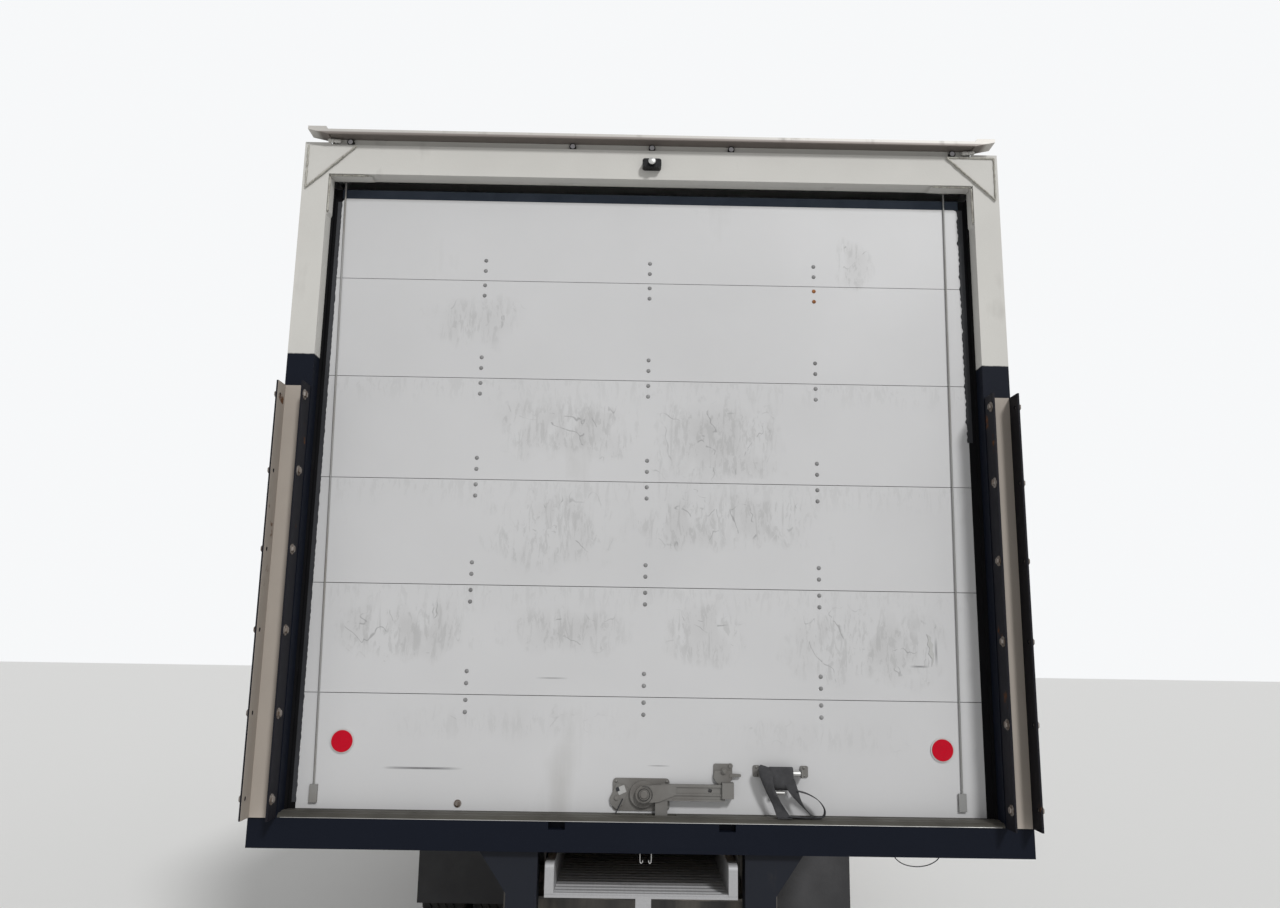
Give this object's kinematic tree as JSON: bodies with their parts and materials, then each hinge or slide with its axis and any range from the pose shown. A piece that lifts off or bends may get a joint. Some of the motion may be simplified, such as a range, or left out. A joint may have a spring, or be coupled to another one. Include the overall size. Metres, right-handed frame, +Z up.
{
  "type": "box truck",
  "caption": "Conventional-cab box truck with tilting hood, steered front axle, twin rear tyres, van body with roll-up rear door and stowed walk ramp.",
  "frame": {"origin": "on the ground, at the middle of the truck's length and width", "axes": "+Y to the rear, +Z up, +X to the driver's left"},
  "size_m": [2.6, 10.182, 3.402],
  "materials": {
    "white_paint": "glossy cab and body white",
    "door_white": "worn grey-white door panels",
    "frame_paint": "cream paint over dark blue on the rear frame",
    "chassis_black": "satin black chassis paint",
    "rail_beige": "beige paint, rust and grease",
    "zinc": "dull zinc plate",
    "bare_aluminium": "mill finish",
    "cast": "oily cast iron",
    "wheel_white": "white wheel enamel",
    "tyre": "black tyre rubber",
    "black_rubber": "matt black rubber",
    "black_plastic": "grained black plastic",
    "grille_chrome": "bright grille",
    "lamp": "lamp lenses and reflectors",
    "clear_lamp": "clear lamp lens",
    "glass": "tinted window glass",
    "seat_vinyl": "woven seat cover",
    "deck_wood": "laminated hardwood deck over steel sills",
    "roof_skin": "white roof sheet",
    "muffler": "heat-stained steel"
  },
  "bodies": {
    "truck": {"frame_rails": "chassis_black", "leaf_springs": "chassis_black", "engine_block": "cast", "radiator": "bare_aluminium", "front_axle": "cast", "rear_axle": "cast", "fuel_tank": "bare_aluminium", "battery_box": "chassis_black", "exhaust": "muffler", "front_bumper": "grille_chrome", "cab_shell": "white_paint", "cab_floor": "chassis_black", "cab_roof": "white_paint", "cab_glass": "glass", "cab_dash": "black_plastic", "cab_seats": "seat_vinyl", "cargo_floor": "deck_wood", "cargo_walls": "white_paint", "cargo_nose": "white_paint", "cargo_roof": "roof_skin", "rear_frame": "frame_paint", "sill_plate": "zinc", "drip_rail": "frame_paint", "lift_rails": "rail_beige", "door_panels": "door_white", "door_seals": "black_rubber", "door_cables": "zinc", "door_hardware": "zinc", "lamps": "lamp", "underride_guard": "chassis_black", "ramp_guides": "chassis_black", "mud_flaps": "black_rubber"},
    "hood": {"hood_shell": "white_paint", "grille": "grille_chrome", "headlamps": "clear_lamp"},
    "door_left": {"cab_door_left": "white_paint", "door_glass_left": "glass"},
    "door_right": {"cab_door_right": "white_paint", "door_glass_right": "glass"},
    "steering_wheel": {"steering_wheel": "black_plastic"},
    "knuckle_left": {"knuckle_left": "cast"},
    "knuckle_right": {"knuckle_right": "cast"},
    "tie_rod": {"tie_rod": "chassis_black"},
    "front_wheel_left": {"tyre_front_left": "tyre", "wheel_front_left": "wheel_white"},
    "front_wheel_right": {"tyre_front_right": "tyre", "wheel_front_right": "wheel_white"},
    "rear_wheels_left": {"tyres_rear_left": "tyre", "wheels_rear_left": "wheel_white"},
    "rear_wheels_right": {"tyres_rear_right": "tyre", "wheels_rear_right": "wheel_white"},
    "walk_ramp": {"walk_ramp": "bare_aluminium"}
  },
  "joints": [
    {"name": "hood_tilt", "type": "hinge", "parent": "truck", "child": "hood", "pos_m": [0, -4.97, 0.7], "axis": [1, 0, 0], "range_deg": [0, 70]},
    {"name": "door_left_swing", "type": "hinge", "parent": "truck", "child": "door_left", "pos_m": [1.044, -3.484, 1.4], "axis": [0, 0, -1], "range_deg": [0, 65]},
    {"name": "door_right_swing", "type": "hinge", "parent": "truck", "child": "door_right", "pos_m": [-1.044, -3.484, 1.4], "axis": [0, 0, 1], "range_deg": [0, 65]},
    {"name": "steer_left", "type": "hinge", "parent": "truck", "child": "knuckle_left", "pos_m": [0.86, -4.091, 0.465], "axis": [0, 0, 1], "range_deg": [-38, 38]},
    {"name": "steer_right", "type": "hinge", "parent": "truck", "child": "knuckle_right", "pos_m": [-0.86, -4.091, 0.465], "axis": [0, 0, 1], "range_deg": [-38, 38]},
    {"name": "steering_turn", "type": "hinge", "parent": "truck", "child": "steering_wheel", "pos_m": [0.47, -3.04, 1.54], "axis": [0, 0.5, 0.866], "range_deg": [-610, 610]},
    {"name": "tie_rod_swing", "type": "hinge", "parent": "knuckle_left", "child": "tie_rod", "pos_m": [0.86, -3.901, 0.337], "axis": [0, 0, 1], "range_deg": [-38, 38]},
    {"name": "front_spin_left", "type": "hinge", "parent": "knuckle_left", "child": "front_wheel_left", "pos_m": [0.99, -4.091, 0.465], "axis": [1, 0, 0], "continuous": true},
    {"name": "front_spin_right", "type": "hinge", "parent": "knuckle_right", "child": "front_wheel_right", "pos_m": [-0.99, -4.091, 0.465], "axis": [1, 0, 0], "continuous": true},
    {"name": "rear_spin_left", "type": "hinge", "parent": "truck", "child": "rear_wheels_left", "pos_m": [0.947, 1.903, 0.465], "axis": [1, 0, 0], "continuous": true},
    {"name": "rear_spin_right", "type": "hinge", "parent": "truck", "child": "rear_wheels_right", "pos_m": [-0.947, 1.903, 0.465], "axis": [1, 0, 0], "continuous": true},
    {"name": "ramp_slide", "type": "slide", "parent": "truck", "child": "walk_ramp", "axis": [0, 1, 0], "range_m": [0, 3.2]}
  ],
  "couplings": [
    {"joint": "steer_right", "follows": "steer_left", "ratio": 1},
    {"joint": "tie_rod_swing", "follows": "steer_left", "ratio": -1},
    {"joint": "steering_turn", "follows": "steer_left", "ratio": 16}
  ]
}
